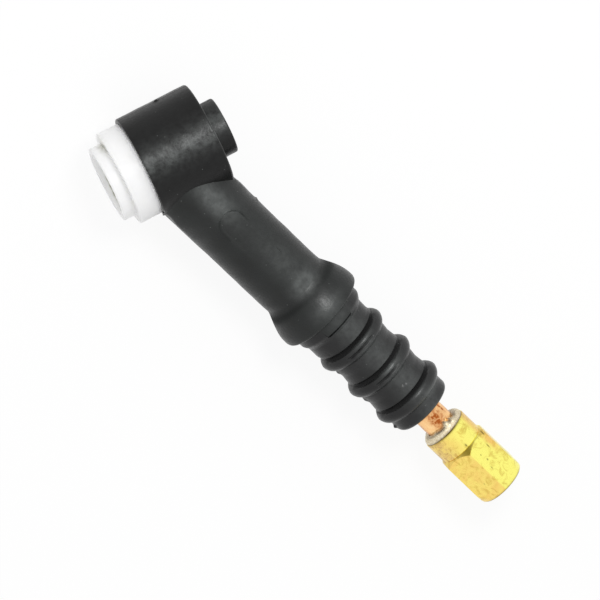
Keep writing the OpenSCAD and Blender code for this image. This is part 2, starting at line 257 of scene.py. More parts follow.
def piece_of(name, *grids, sharp=38):
    """One object from grids of points whose rows and columns both close on themselves.
    A cell is a quad; a grid whose signed volume, the sum of a·(b×c), is negative is turned."""
    points, faces, used = [], [], 0
    for grid in grids:
        rows, columns = grid.shape[:2]
        flat = grid.reshape(-1, 3) * mm
        here = np.arange(rows * columns).reshape(rows, columns)
        below = np.roll(here, -1, axis=0)
        cells = np.stack([here, np.roll(here, -1, axis=1), np.roll(below, -1, axis=1), below],
                         axis=-1).reshape(-1, 4)
        a, b, c, d = (flat[cells[:, i]] for i in range(4))
        volume = np.sum(a * np.cross(b, c)) + np.sum(a * np.cross(c, d))
        points.append(flat)
        faces.append((cells if volume > 0 else cells[:, ::-1]) + used)
        used += len(flat)
    points, faces = np.concatenate(points), np.concatenate(faces)
    mesh = bpy.data.meshes.new(name)
    mesh.vertices.add(len(points))
    mesh.vertices.foreach_set("co", points.astype(np.float32).ravel())
    mesh.loops.add(faces.size)
    mesh.loops.foreach_set("vertex_index", faces.astype(np.int32).ravel())
    mesh.polygons.add(len(faces))
    mesh.polygons.foreach_set("loop_start", np.arange(0, faces.size, 4, dtype=np.int32))
    mesh.update(calc_edges=True)
    mesh.validate()
    mesh.shade_smooth()
    mesh.set_sharp_from_angle(angle=math.radians(sharp))
    made = bpy.data.objects.new(name, mesh)
    bpy.context.scene.collection.objects.link(made)
    return made


def ridge(distance, width):
    """A soft ridge: 1 on its line, falling as a Gaussian of the distance over the width."""
    return np.exp(-(distance / width) ** 2)


def marked(piece, name, formula):
    """Gives every point of a piece the value of formula(x, y, z), in millimetres, by a name."""
    mesh = piece.data
    flat = np.empty(len(mesh.vertices) * 3, dtype=np.float32)
    mesh.vertices.foreach_get("co", flat)
    values = np.clip(formula(*(flat.reshape(-1, 3).T / mm)), 0, 1).astype(np.float32)
    mesh.attributes.new(name, "FLOAT", "POINT").data.foreach_set("value", values)


def in_millimetres(tree, turn=0.0):
    """Object coordinates in millimetres, so that a pattern's scale is its features to the
    millimetre, turned about the vertical so that X follows an axis."""
    return add(tree, "Mapping", {"Vector": add(tree, "TexCoord").outputs["Object"],
                                 "Rotation": (0, 0, -turn), "Scale": (1 / mm, 1 / mm, 1 / mm)})


def broken_up(tree, mark, pattern):
    """A piece's own mark times a pattern, kept between 0 and 1."""
    mark = add(tree, "Attribute", attribute_name=mark).outputs["Fac"]
    return add(tree, "Math", [mark, pattern], operation="MULTIPLY", use_clamp=True)


def coated(tree, base, *coats):
    """Lays colours over each other: each coat is a mask and the hex colour that it brings."""
    colour = linear(base)
    for mask, code in coats:
        colour = add(tree, "Mix", {0: mask, 6: colour, 7: linear(code)},
                     data_type="RGBA").outputs[2]
    return colour


def finished(tree, sockets):
    """Ends a material's tree in one Principled shader with these sockets."""
    add(tree, "OutputMaterial", {"Surface": add(tree, "BsdfPrincipled", sockets)})


stations, radii = outline([
    [(recess_floor, recess_r), (recess_floor, insulator_bore_r + insulator_lip)],
    [(recess_floor + insulator_lip, insulator_bore_r), (block_nose, insulator_bore_r)],
    [(block_nose, hub_bore_r), (hub_end, hub_bore_r), (hub_end, hub_r - hub_chamfer)],
    [(hub_end - hub_chamfer, hub_r), (head_front, hub_r)],
    arc(head_front - insulator_edge, flange_r - insulator_edge, insulator_edge, 0, 90),
    arc(flange_front + insulator_edge, flange_r - insulator_edge, insulator_edge, 90, 180),
    [(flange_front, step_r - groove_d), (flange_front - groove_w, step_r - groove_d),
     (flange_front - groove_w - groove_slope, step_r)],
    arc(insulator_face + insulator_edge, step_r - insulator_edge, insulator_edge, 90, 180),
    arc(insulator_face + insulator_lip, recess_r + insulator_lip, insulator_lip, 180, 270, 4),
], insulator_row)
insulator = piece_of("insulator_ring", turned(around(insulator_columns), head_way,
                                              (stations, radii)))


def on_head_axis(x, y):
    """Station along the head's axis and distance towards the neck of a point."""
    return (x * head_axis[0] + y * head_axis[1], x * head_side[0] + y * head_side[1])


def painted_ptfe_shade(x, y, z):
    """Painted shade: olive on the step's outer side, in the corner under the flange, as one
    Gaussian, and a painted shadow in the recess's corner, a ridge at its floor that rises where it
    has run out sideways."""
    station, aside = on_head_axis(x, y)
    corner = 0.55 * ridge(station + 10.0, 1.1) * ridge(aside + 8.1, 2.2) * ridge(z - 1.4, 3.4)
    inside = np.abs(np.hypot(aside, z) - recess_r) < 0.1
    soot = inside * (z < 0) * ridge(station - recess_floor + 0.03 * aside ** 2 / 2, 0.28)
    return corner + 1.2 * soot * ridge(aside - 1.6, 4.2)


marked(insulator, "painted_ptfe_shade", painted_ptfe_shade)

# Virgin PTFE, turned: milk white, waxy and faintly translucent, with olive painted shade in the
# corner under its flange and a painted shadow in its recess. Its tool rings, a tenth of a
# millimetre apart, are drawn coarser to show.
ptfe = bpy.data.materials.new("turned_white_ptfe")
tree = blank_tree(ptfe)
place = in_millimetres(tree, head_angle)
smudge = add(tree, "TexNoise", {"Vector": place, "Scale": 0.16, "Detail": 3.0})
smudge = add(tree, "MapRange", [smudge, 0.55, 0.8, 0.0, 0.4])
blotch = add(tree, "TexNoise", {"Vector": place, "Scale": 0.9, "Detail": 3.0})
blotch = add(tree, "MapRange", [blotch, 0.3, 0.6, 0.35, 0.9])
tool_rings = add(tree, "TexWave", {"Vector": place, "Scale": 1.4, "Distortion": 0.6,
                                   "Detail": 1.0, "Detail Scale": 0.3},
                 wave_type="BANDS", bands_direction="X")
ring_bump = add(tree, "Bump", {"Height": tool_rings.outputs["Fac"], "Distance": 0.004 * mm})
grain = add(tree, "TexNoise", {"Vector": place, "Scale": 2.2, "Detail": 4.0})
gloss = add(tree, "MapRange", [grain, 0.3, 0.7, 0.34, 0.46])
# The olive #87866a over the piece's mark is painted shade under the flange and a painted shadow in
# the recess.
finished(tree, {
    "Base Color": coated(tree, "#fdfdfd", (smudge, "#f8f7f2"),
                         (broken_up(tree, "painted_ptfe_shade", blotch), "#87866a")),
    "Roughness": gloss, "IOR": 1.38, "Subsurface Weight": 1.0,
    "Subsurface Radius": (1.0, 1.0, 0.97), "Subsurface Scale": 3 * mm, "Normal": ring_bump})
insulator.data.materials.append(ptfe)
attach(insulator, "head_end")
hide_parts("cup_insulator")


# ---------------------------------------------------------------------------------------------
# Head cover. Black silicone rubber moulded round the brass block in a two-part mould that opens
# upwards, so a fine parting line runs along both sides, with a nub of flash left on the outer
# one. The boss behind it guards the back cap's thread.

head_back = 11.2
head_r = 11.0
boss_r = 6.05
boss_end = 14.7
boss_bore_r = 5.13
boss_lip = 0.12
block_step = 9.8
piece_gap = 0.03                   # between pieces that fit each other
front_rim = 0.25
back_rim = 0.55
boss_rim = 0.4
boss_root = 0.25
corner_cut_x = 8.3
corner_cut_y = -7.55               # the corner under the neck is cut off along this line
corner_cut_slope = 0.12
corner_start_x = 5
parting_height = 0.05
parting_width = 0.12
flash_station = 4.1
flash_height = 0.3
flash_length = 0.45
skin_waves = 0.03                  # height of the unevenness of the moulded skins
head_columns = 400
head_row = 0.22

stations, radii = outline([
    [(head_front, hub_r + piece_gap)],
    arc(head_front + front_rim, head_r - front_rim, front_rim, 180, 90),
    arc(head_back - back_rim, head_r - back_rim, back_rim, 90, 0, 9),
    arc(head_back + boss_root, boss_r + boss_root, boss_root, 180, 270, 5),
    arc(boss_end - boss_rim, boss_r - boss_rim, boss_rim, 90, 0, 7),
    [(boss_end, boss_bore_r + boss_lip), (boss_end - boss_lip, boss_bore_r)],
    [(block_step, boss_bore_r), (block_step, hub_bore_r)],
    [(hub_end + piece_gap, hub_bore_r), (hub_end + piece_gap, hub_r + piece_gap)],
], head_row)
turns = around(head_columns)


def uneven(along, turns, radius, size):
    """Hand-sized unevenness of moulded rubber: three crossed waves of unlike lengths."""
    arcs = turns * radius
    round_trip = 2 * math.pi * radius
    waves = sum(np.sin(2 * math.pi * (along / length + turn_count * arcs / round_trip) + shift)
                for length, turn_count, shift in ((11.3, 2, 0.4), (7.1, -3, 2.1), (4.3, 5, 4.0)))
    return size * waves / 3


lean = np.abs(np.cos(turns))
above_parting = lean * radii
outer = (radii > boss_bore_r + 0.2) & (stations > head_front - 0.1)
outer = outer & ~((stations < head_back - 1) & (radii < head_r - 1))
parting = parting_height * ridge(above_parting, parting_width)
flash = flash_height * ridge(stations - flash_station, flash_length) \
    * ridge(above_parting, parting_width * 2) * (np.sin(turns) < 0) * (radii > head_r - 0.5)
swell = (parting + flash + uneven(stations, turns, head_r, skin_waves)) * outer
past_box = (radii + swell) * lean > head_r
swell = np.where(past_box, head_r / np.maximum(lean, 0.5) - radii, swell)
head_grid = turned(turns, head_way, (stations, radii + swell))
cut_line = corner_cut_y - corner_cut_slope * (head_grid[..., 0] - corner_cut_x)
head_grid[..., 1] = np.where(head_grid[..., 0] > corner_start_x,
                             np.maximum(head_grid[..., 1], cut_line), head_grid[..., 1])
head_cover = piece_of("head_rubber", head_grid)


def silicone_rubber(name, deep, pale, dull, bright, peel, level, patchy=0.22, turn=0.0):
    """Moulded silicone rubber: near-black with a cloudy bloom, an orange-peel skin of about
    half a millimetre over a finer grain, a few pale specks of dust and release powder, and the
    painted highlights, paler and glossier, that the piece's own mark gives, more or less patchy.
    Level is the specular level."""
    material = bpy.data.materials.new(name)
    tree = blank_tree(material)
    place = in_millimetres(tree, turn)
    cloud = add(tree, "TexNoise", {"Vector": place, "Scale": 0.14, "Detail": 4.0,
                                   "Roughness": 0.6})
    cloud = add(tree, "MapRange", [cloud, 0.35, 0.65, 0.0, 1.0])
    speck = add(tree, "TexVoronoi", {"Vector": place, "Scale": 0.55})
    speck = add(tree, "MapRange", [speck, 0.02, 0.07, 0.4, 0.0])
    sheen_patches = add(tree, "TexNoise", {"Vector": place, "Scale": 0.7, "Detail": 4.0, "Roughness": 0.6})
    sheen_patches = add(tree, "MapRange", [sheen_patches, 0.33, 0.63, 0.75 - patchy, 0.75 + patchy])
    sheen_patches = broken_up(tree, "painted_sheen", sheen_patches)
    skin = add(tree, "TexNoise", {"Vector": place, "Scale": 1.9, "Detail": 2.0,
                                  "Roughness": 0.55})
    grain = add(tree, "TexNoise", {"Vector": place, "Scale": 8.0, "Detail": 2.0})
    coarse = add(tree, "Bump", {"Height": skin, "Distance": peel * mm})
    fine = add(tree, "Bump", {"Height": grain, "Distance": 0.008 * mm, "Normal": coarse})
    gloss = add(tree, "MapRange", [skin, 0.3, 0.7, bright, dull])
    matt = add(tree, "Attribute", attribute_name="matt").outputs["Fac"]
    gloss = add(tree, "Mix", {0: matt, 2: gloss, 3: 0.85})
    sheen_gloss = add(tree, "Math", [sheen_patches, 0.8], operation="MULTIPLY")
    gloss = add(tree, "Mix", {0: sheen_gloss, 2: gloss, 3: 0.24})
    # The pale #5a5d5c laid over the piece's mark is a painted highlight, and the same mark makes
    # the skin glossier.
    finished(tree, {
        "Base Color": coated(tree, deep, (cloud, pale), (speck, "#8d918f"), (sheen_patches, "#5a5d5c")),
        "Roughness": gloss, "IOR": 1.41, "Specular IOR Level": level, "Normal": fine})
    return material


def painted_head_highlight(x, y, z):
    """Painted highlight: a pale band along the head's top, on its highlight line, cloudy at its
    edges.
    """
    station, aside = on_head_axis(x, y)
    return (z > 0) * (ridge(aside + 2.6, 2.2) * 0.55 + ridge(aside + 2.6, 5.0) * 0.12) \
        * (station > head_front)


# The head's mark is a painted highlight along the top of the head.
marked(head_cover, "painted_sheen", painted_head_highlight)
head_cover.data.materials.append(
    silicone_rubber("black_moulded_silicone", "#060606", "#0a0a0a", 0.42, 0.28, 0.035, 0.33,
                    patchy=0.5, turn=head_angle))
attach(head_cover, "head_end")
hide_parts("head_cover")


# ---------------------------------------------------------------------------------------------
# Head block. Free-cutting brass, turned and drilled, with the collet body's thread in front and
# the back cap's thread behind. Gas enters through a port from the spigot that the neck's tube is
# silver-soldered into.

block_r = 6.2
block_neck_r = 5.1
block_tail = 14.2
collet_r = 4.3
collet_end = 5.0
passage_r = 2.6
cap_start = 7.2
cap_r = 3.9
thread_pitch = 0.79                # 32 threads to the inch
thread_depth = 0.36
thread_chamfer = 0.45
thread_lead = 0.3                  # from a bore's mouth to its thread
thread_runout = 1.2                # from a thread's end to the bore's
collet_runout = 1.5
collet_cone = 0.5
cap_cone = 0.6
block_chamfer = 0.3
tail_chamfer = 0.2
port_r = 2.2
port_edge = 0.15
port_floor = 0.12                  # of the block's wall, left under the spigot
spigot_r = 4.2
spigot_chamfer = 0.2
spigot_sink = 0.05                 # into the block
spigot_reach = 15.0
spigot_socket = 9.5
spigot_socket_r = 3.23
block_columns = 160
block_row = 0.1
spigot_row = 0.5


def helix(stations, turns, start, end, pitch, depth):
    """Depth of a V thread: a triangle wave of station over pitch less turn, stretched and cut off
    so that crests and roots are flat, and faded over one pitch at its ends."""
    phase = (stations / pitch - turns / (2 * math.pi)) % 1
    vee = 1 - np.abs(2 * phase - 1)
    fade = np.clip((stations - start) / pitch, 0, 1) * np.clip((end - stations) / pitch, 0, 1)
    return depth * np.clip(vee * 1.25 - 0.12, 0, 1) * fade


stations, radii = outline([
    [(block_nose, collet_r + thread_chamfer), (block_nose, block_r - block_chamfer),
     (block_nose + block_chamfer, block_r)],
    [(block_step, block_r), (block_step, block_neck_r)],
    [(block_tail - tail_chamfer, block_neck_r), (block_tail, block_neck_r - tail_chamfer)],
    [(block_tail, cap_r + thread_chamfer), (block_tail - thread_chamfer, cap_r)],
    [(cap_start + cap_cone, cap_r), (cap_start, passage_r + block_chamfer)],
    [(cap_start - block_chamfer, passage_r), (collet_end + block_chamfer, passage_r)],
    [(collet_end, passage_r + block_chamfer), (collet_end - collet_cone, collet_r),
     (block_nose + thread_chamfer, collet_r)],
], block_row)
turns = around(block_columns)
along, wall = stations + 0 * turns, radii + 0 * turns
in_collet = (wall < collet_r + 0.01) & (along < collet_end)
in_cap = (wall < cap_r + 0.01) & (along > cap_start)
threads = np.where(in_collet, helix(along, turns, block_nose + thread_lead,
                                    collet_end - collet_runout, thread_pitch, thread_depth), 0) \
    + np.where(in_cap, helix(along, turns, cap_start + thread_runout,
                             block_tail - thread_lead, thread_pitch, thread_depth), 0)
port = np.hypot(along, wall * np.cos(turns))
port_depth = np.where(in_collet & (np.sin(turns) > 0),
                      np.clip((port_r - port) / port_edge, 0, 1)
                      * (block_r - port_floor - collet_r), 0)
block_grid = turned(turns, head_way, (along, wall + np.maximum(threads, port_depth)))

neck_way = (np.array([1.0, 0, 0]), np.array([0, -1.0, 0]))     # along the neck, and its side


def saddle(radii, turns, head_radius):
    """Station along the neck where a line at this radius and turn meets the head's cylinder:
    (sqrt(head radius² − height²) + y · cos head angle) / sin head angle."""
    height, y = radii * np.cos(turns), -radii * np.sin(turns)
    reach = np.sqrt(np.maximum(head_radius ** 2 - height ** 2, 0))
    return (reach + y * math.cos(head_angle)) / math.sin(head_angle)


stations, radii = outline([
    [(0, spigot_r), (spigot_reach - spigot_chamfer, spigot_r),
     (spigot_reach, spigot_r - spigot_chamfer)],
    [(spigot_reach, spigot_socket_r), (spigot_socket, spigot_socket_r)],
    [(spigot_socket, port_r), (0, port_r)],
], spigot_row)
wall = radii + 0 * turns
along = np.maximum(stations, saddle(wall, turns, block_r - spigot_sink))
head_block = piece_of("head_brass", block_grid, turned(turns, neck_way, (along, wall)))


def machined_brass(name, turn=0.0):
    """Machined brass: bright yellow metal with tool streaks across its axis, fingered patches
    where it has dulled to olive, and small dark nicks."""
    material = bpy.data.materials.new(name)
    tree = blank_tree(material)
    place = in_millimetres(tree, turn)
    stretched = add(tree, "Mapping", {"Vector": place, "Scale": (6, 0.5, 0.5)})
    lines = add(tree, "TexNoise", {"Vector": stretched, "Scale": 3.0, "Detail": 4.0,
                                   "Roughness": 0.65})
    patch = add(tree, "TexNoise", {"Vector": place, "Scale": 0.42, "Detail": 5.0,
                                   "Roughness": 0.62, "Distortion": 0.8})
    dulled = add(tree, "MapRange", [patch, 0.5, 0.68, 0.0, 0.75])
    shade = add(tree, "TexNoise", {"Vector": place, "Scale": 0.2, "Detail": 2.0})
    shade = add(tree, "MapRange", [shade, 0.35, 0.65, 0.0, 1.0])
    tool = add(tree, "Bump", {"Height": lines, "Distance": 0.006 * mm})
    nick = add(tree, "TexVoronoi", {"Vector": place, "Scale": 0.55})
    nick = add(tree, "MapRange", [nick, 0.02, 0.09, 0.0, 1.0])
    dents = add(tree, "Bump", {"Height": nick, "Distance": 0.04 * mm, "Normal": tool})
    finished(tree, {
        "Base Color": coated(tree, "#e3c064", (shade, "#cfa54c"), (dulled, "#9a7a34")),
        "Metallic": 1.0, "Roughness": add(tree, "MapRange", [patch, 0.35, 0.7, 0.2, 0.36]),
        "Normal": dents})
    return material


head_block.data.materials.append(machined_brass("turned_brass", head_angle))
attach(head_block, "head_end")
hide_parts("head_block")


# ---------------------------------------------------------------------------------------------
# Flexible tube. Soft copper tube with corrugations rolled into it, so that the neck can be bent
# by hand. It is drawn as two lengths that meet between the two bends of the neck.

tube_r = 3.2
bellows_wall = 0.5
bellows_rise = 0.75
bend_start = 17.0
bend_middle = 28.0
bend_end = 39.0
waves = 13
tube_start = 9.53
tube_stop = 45.17
tube_columns = 96
tube_row = 0.16


def corrugated(stations):
    """Rise of the corrugations: half the full rise times (1 − cos of the wave's phase)."""
    phase = 2 * math.pi * waves * (stations - bend_start) / (bend_end - bend_start)
    inside = (stations > bend_start) & (stations < bend_end)
    return np.where(inside, bellows_rise / 2 * (1 - np.cos(phase)), 0)


def bends_with(piece):
    """Bakes a length of the neck's placement into its mesh."""
    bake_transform(piece)


def copper(name, clean, shaded, painted_dark, dull, bright):
    """Drawn copper tube after brazing: salmon metal, clouded red-brown by the flame's heat, and
    darker where the piece's mark paints shade and a dark reflection line, and lays a red-brown
    patch.
    """
    material = bpy.data.materials.new(name)
    tree = blank_tree(material)
    place = in_millimetres(tree)
    heat = add(tree, "TexNoise", {"Vector": place, "Scale": 0.5, "Detail": 4.0,
                                  "Roughness": 0.6, "Distortion": 0.6})
    cloud = add(tree, "MapRange", [heat, 0.4, 0.6, 0.0, 1.0])
    spot = add(tree, "TexNoise", {"Vector": place, "Scale": 1.8, "Detail": 4.0})
    spot = add(tree, "MapRange", [spot, 0.4, 0.56, 0.45, 1.25])
    drawn = add(tree, "Mapping", {"Vector": place, "Scale": (0.1, 1.0, 1.0)})
    lines = add(tree, "TexNoise", {"Vector": drawn, "Scale": 3.5, "Detail": 3.0})
    # The piece's mark lays painted shade, a painted dark reflection line and a red-brown patch.
    finished(tree, {
        "Base Color": coated(tree, clean, (cloud, shaded),
                             (broken_up(tree, "painted_shade_and_red_patch", spot), painted_dark)),
        "Metallic": 1.0, "Roughness": add(tree, "MapRange", [heat, 0.35, 0.65, bright, dull]),
        "Normal": add(tree, "Bump", {"Height": lines, "Distance": 0.012 * mm})})
    return material


annealed_copper = copper("annealed_copper", "#d98a5c", "#b8673c", "#8a4526", 0.45, 0.3)
turns = around(tube_columns)
for name, front, start, stop in (("flex_tube_front", True, tube_start, bend_middle),
                                 ("flex_tube_rear", False, bend_middle, tube_stop)):
    stations, radii = outline([[(start, tube_r), (stop, tube_r)],
                               [(stop, tube_r - bellows_wall), (start, tube_r - bellows_wall)]],
                              tube_row)
    radii = radii + corrugated(stations)
    at_seam = np.isclose(stations, bend_middle) & (radii < tube_r + 0.1)
    radii = np.where(at_seam, tube_r - bellows_wall + bellows_rise, radii)
    tube = piece_of(name, turned(turns, neck_way, (stations, radii)))
    tube.data.materials.append(annealed_copper)
    bends_with(tube)
    if front:
        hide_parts("flex_tube")


# ---------------------------------------------------------------------------------------------
# Neck boot. Grey-black silicone rubber moulded over the flexible tube: deep shoulders at the
# head, a flat for a label, a bulge that stops the handle, and a tongue behind it that keys into
# the handle seat. Its two lengths meet where the neck's two bends do.

neck_root = 7.7                    # where the shoulders start, along the neck
neck_root_r = 7.7
neck_waist_r = 7.43
neck_offset = 0.18                 # of the neck's axis towards -Y
offset_fade = (37.5, 40.5)         # stretch over which the offset is lost
shoulder_r = 8.85
shoulder_fade = (10.5, 20.5)       # stretch over which the shoulders sink into the round neck
shoulder_blend = 0.12
neck_blend = 0.05
neck_flank = 7.62                  # half the neck's width across the shoulders
flank_taper = 0.3                  # taken off it where it reaches the head's corner
taper_fade = (8.0, 11.5)
crease_fillet = 0.2
crease_fade = (10.2, 11.2)         # stations along the head over which it is lost
foot_fillet = 0.8                  # more of it where the neck runs out into the head's side
foot_rise = (3.2, 5.2)             # distances aside over which it grows
foot_fall = (6.4, 7.3)             # and over which it is lost again
head_contact_r = 10.96
root_cone_slope = 0.5              # of the cone that trims the root behind the head's back rim
boot_bore_r = 4.35
seat_start = 41.5
spigot_fit_r = 6.03
flare_start = 39.15
crease_drift = 0.4                 # of the flare's start, towards the tail on the upper side
crest = 46.2
boot_end = 47.8
bulge_r = 9.63
lip_r = 7.97
lip_blend = 0.07
fall_end = 47.42                   # where the bulge has fallen to its lip
fall_wander = 0.08
fall_past = 0.35                   # how far under the lip the fall would end
label_start = 15.9
label_end = 34.9
label_half = 2.8
label_y = 0.3
label_level = 7.0
label_wall = 0.2                   # width of the label's edge where it is sharp
label_blend = 1.6                  # and where it fades into the neck
label_blend_x = (19.5, 22.5)       # stretches over which the edge grows to that width
label_blend_y = (0.5, 2.5)
label_fade = (22, 33)              # stretch over which the flat rises to the round neck
rim_depth = 0.2                    # of the fine line round the label
rim_width = 0.13
rim_fade = (19.0, 22.0)
rim_far = 29.7                     # middle of a last piece of it
tongue_y = 0.5
tongue_half = 3.55
tongue_edge = 0.12
tongue_blend = 0.05
tongue_rise = 0.012                # of the tongue over the lip
tongue_end = 49.88
tongue_end_r = 7.78
tongue_fall = 49.45                # where the tongue starts to slope down
flank_spots = ((14.5, -0.38, 0.4, 2.5), (20.7, 0.18, 0.35, 1.5))   # x, height, length, width
boot_waves = 0.035
boot_columns = 440
boot_row = 0.125
fine_row = 0.05
fine_rows = (46.8, 47.56)          # stretch with closer rows, where the bulge falls
stretch_start = 47.57              # the last rows are drawn out from here to the tongue's end


def soft_step(value, low, high):
    """0 below low, 1 above high, and 3t² − 2t³ between them."""
    t = np.clip((value - low) / (high - low), 0, 1)
    return t * t * (3 - 2 * t)


def on_stretch(value, rise, fall):
    """Rises from 0 to 1 by a soft step over one stretch, and falls back over another."""
    return soft_step(value, *rise) * (1 - soft_step(value, *fall))


def soft_least(first, second, blend):
    """The smaller of two, their crossing rounded: −blend log(sum of exp(−value/blend))."""
    least = np.minimum(first, second)
    return least - blend * np.log(np.exp((least - first) / blend)
                                  + np.exp((least - second) / blend))


def neck_radius(x, turns):
    """Round neck that narrows as (1 − t)², deepened towards ±Z at the head, then the bulge:
    a swell of sin(90° t)^1.15 up to the crest and a superellipse down to the round lip."""
    left = 1 - np.clip((x - neck_root) / (bend_end - neck_root), 0, 1)
    neck = neck_waist_r + (neck_root_r - neck_waist_r) * left ** 2
    shoulder = shoulder_r + (neck_waist_r - shoulder_r) * soft_step(x, *shoulder_fade)
    flank = neck_flank - flank_taper * (1 - soft_step(x, *taper_fade))
    flank = flank / np.maximum(np.abs(np.sin(turns)), 0.3)
    deep = soft_least(shoulder + 0 * turns, flank, shoulder_blend)
    neck = -soft_least(-neck, -deep, neck_blend)
    neck = neck + neck_offset * np.sin(turns) * (1 - soft_step(x, *offset_fade))
    begins = flare_start + crease_drift * np.maximum(np.cos(turns), 0) ** 2
    rise = np.clip((x - begins) / (crest - begins), 0, 1)
    fall = np.clip((x - crest) / (fall_end + fall_wander * np.sin(turns) - crest), 0, 1)
    swell = (bulge_r - neck_waist_r) * np.sin(rise * math.pi / 2) ** 1.15
    drop = (bulge_r - lip_r + fall_past) * (1 - (1 - fall ** 5) ** (1 / 5))
    r = neck + swell - drop
    return np.where(x > crest, -soft_least(-r, -lip_r + 0 * r, lip_blend), r)


def on_label(x, y):
    """How far a point lies inside the label's stadium outline, in millimetres."""
    middle, half = (label_start + label_end) / 2, (label_end - label_start) / 2
    beyond = np.maximum(np.abs(x - middle) - (half - label_half), 0)
    return label_half - np.hypot(beyond, y - label_y)


def boot_skin(x, turns):
    """Outer skin of the boot: neck, label flat, parting line, unevenness and flat tongue."""
    r = neck_radius(x, turns)
    y, height = -r * np.sin(turns), r * np.cos(turns)
    before_lip = 1 - soft_step(x, crest + 0.5, boot_end)
    r = r + (uneven(x, turns, neck_root_r, boot_waves)
             + parting_height * ridge(height, parting_width)) * before_lip
    level = label_level / np.maximum(np.cos(turns), 0.5)
    sunk = np.where(np.cos(turns) > 0.5, np.maximum(r - level, 0), 0)
    wall = label_wall + (label_blend - label_wall) * np.maximum(
        soft_step(x, *label_blend_x), soft_step(-y, *label_blend_y))
    r = r - sunk * soft_step(on_label(x, y), -wall / 2, wall / 2) \
        * (1 - soft_step(x, *label_fade))
    for spot_x, spot_height, spot_length, spot_width in flank_spots:
        r = r + spot_height * ridge(x - spot_x, spot_length) * ridge(height, spot_width) * (y > 0)
    flat = np.interp(x, (tongue_fall, tongue_end), (lip_r + tongue_rise, tongue_end_r))
    r = np.where(x > crest, -soft_least(-r, -flat + 0 * r, tongue_blend), r)
    rim_line = ridge(on_label(x, y), rim_width) * (height > 0) \
        * np.maximum((1 - soft_step(x, *rim_fade)) * soft_step(y, -2.5, 0),
                     ridge(x - rim_far, 1.3) * (y > 1))
    return r - rim_depth * rim_line


def tongue_share(turns):
    """1 across the tongue's width on the upper side, falling to 0 over its rounded flanks."""
    y = -lip_r * np.sin(turns)
    inside = tongue_half - np.abs(y - tongue_y)
    return soft_step(inside, -tongue_edge, tongue_edge) * (np.cos(turns) > 0)


def station_of(x, radii, turns):
    """Station along the head's axis of a point of the neck: x cos a + y sin a."""
    return x * math.cos(head_angle) - radii * np.sin(turns) * math.sin(head_angle)


def on_head(radii, turns):
    """Where a line along the neck meets the head, which widens as a cone behind its back rim.
    The head's radius there depends on the answer, so the saddle is worked out repeatedly."""
    x = saddle(radii, turns, head_contact_r)
    for _ in range(10):
        past = np.maximum(station_of(x, radii, turns) - head_back, 0)
        x = saddle(radii, turns, head_contact_r + root_cone_slope * past)
    return x


def between(start, end, count):
    """So many rows of values in equal steps from start to end, both included."""
    return start + (end - start) * np.linspace(0, 1, count)[:, None]


turns = around(boot_columns)
skin_x = np.arange(0, 1, boot_row / (bend_middle - neck_root))[:, None]
root = on_head(neck_root_r + 0 * turns, turns)
for _ in range(10):
    fillet = crease_fillet * (1 - soft_step(station_of(root, neck_root_r, turns), *crease_fade)) \
        + foot_fillet * on_stretch(neck_root_r * np.sin(turns), foot_rise, foot_fall)
    root = on_head(boot_skin(root, turns) + fillet, turns)
front_x = root + (bend_middle - root) * skin_x
off_head = np.clip(1 - (front_x - root) / (2 * fillet + 0.01), 0, 1)
front_r = boot_skin(front_x, turns) + fillet * (1 - np.sqrt(1 - off_head ** 2))
seam_r = boot_skin(bend_middle + 0 * turns, turns)[None, :]
seam_face_r = between(seam_r, boot_bore_r, 8)[1:-1]
bore_root = on_head(boot_bore_r + 0 * turns, turns)
head_face_r = between(boot_bore_r, front_r[:1], 12)[1:-1]
front_half = piece_of("boot_front", turned(
    turns, neck_way, (front_x, front_r), (bend_middle, seam_r), (bend_middle, seam_face_r),
    (between(bend_middle, bore_root, 30), boot_bore_r),
    (on_head(head_face_r, turns), head_face_r)))

end_x = boot_end + (tongue_end - boot_end) * tongue_share(turns)
skin_x = np.concatenate([np.arange(bend_middle, fine_rows[0], boot_row),
                         np.arange(*fine_rows, fine_row),
                         np.linspace(stretch_start, boot_end, 12)[:-1]])[:, None]
stretch = np.clip((skin_x - stretch_start) / (boot_end - stretch_start), 0, 1)
rear_x = np.concatenate([skin_x + stretch * (end_x - boot_end), end_x[None, :]])
rear_r = boot_skin(rear_x, turns)
rear_half = piece_of("boot_rear", turned(
    turns, neck_way, (rear_x, rear_r), (end_x, between(rear_r[-1:], spigot_fit_r, 8)[1:-1]),
    (between(end_x, seat_start, 8), spigot_fit_r),
    (between(seat_start, bend_middle, 16), boot_bore_r), (bend_middle, seam_face_r[::-1])))


def painted_boot_highlights(x, y, z):
    """Painted highlights on the upper side: Gaussians at the root, along the neck, before the
    flare and on it.
    """
    spots = ((12.4, 5.0, 1.1, 2.1, 1.2), (38.4, 1.9, 1.6, 2.8, 1.2), (45.0, 2.2, 1.6, 3.4, 0.8),
             (49.0, 1.4, 1.6, 3.6, 0.4), (33.0, 6.0, 1.8, 3.2, 0.35), (20, 16, 2.5, 3.4, 0.15))
    return (z > 0) * sum(ridge(x - spot_x, long) * ridge(y - spot_y, wide) * strength
                         for spot_x, long, spot_y, wide, strength in spots)


def shaded_crease(x, y, z):
    """Dull skin in the hollow where the flare starts, which the mould's blasting left matt."""
    return ridge(x - 40.9, 1.0) + ridge(on_label(x, y), 0.5) * (z > 0) * (x < 21) * 0.8


grey_silicone = silicone_rubber("grey_moulded_silicone", "#141615", "#1c1f1e", 0.46, 0.31,
                                0.035, 0.42)
# The boot's pale marks are painted highlights on its upper side.
for half, front in ((front_half, True), (rear_half, False)):
    marked(half, "painted_sheen", painted_boot_highlights)
    marked(half, "matt", shaded_crease)
    half.data.materials.append(grey_silicone)
    bends_with(half)
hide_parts("neck_boot")


# ---------------------------------------------------------------------------------------------
# Handle seat. A sleeve of the same rubber moulded on the rigid tube, with a keyed flange behind
# the boot and three bead ribs that the plastic handle is pushed over. The sleeve is waisted
# between the ribs, and each rib is undercut on the side towards the boot.

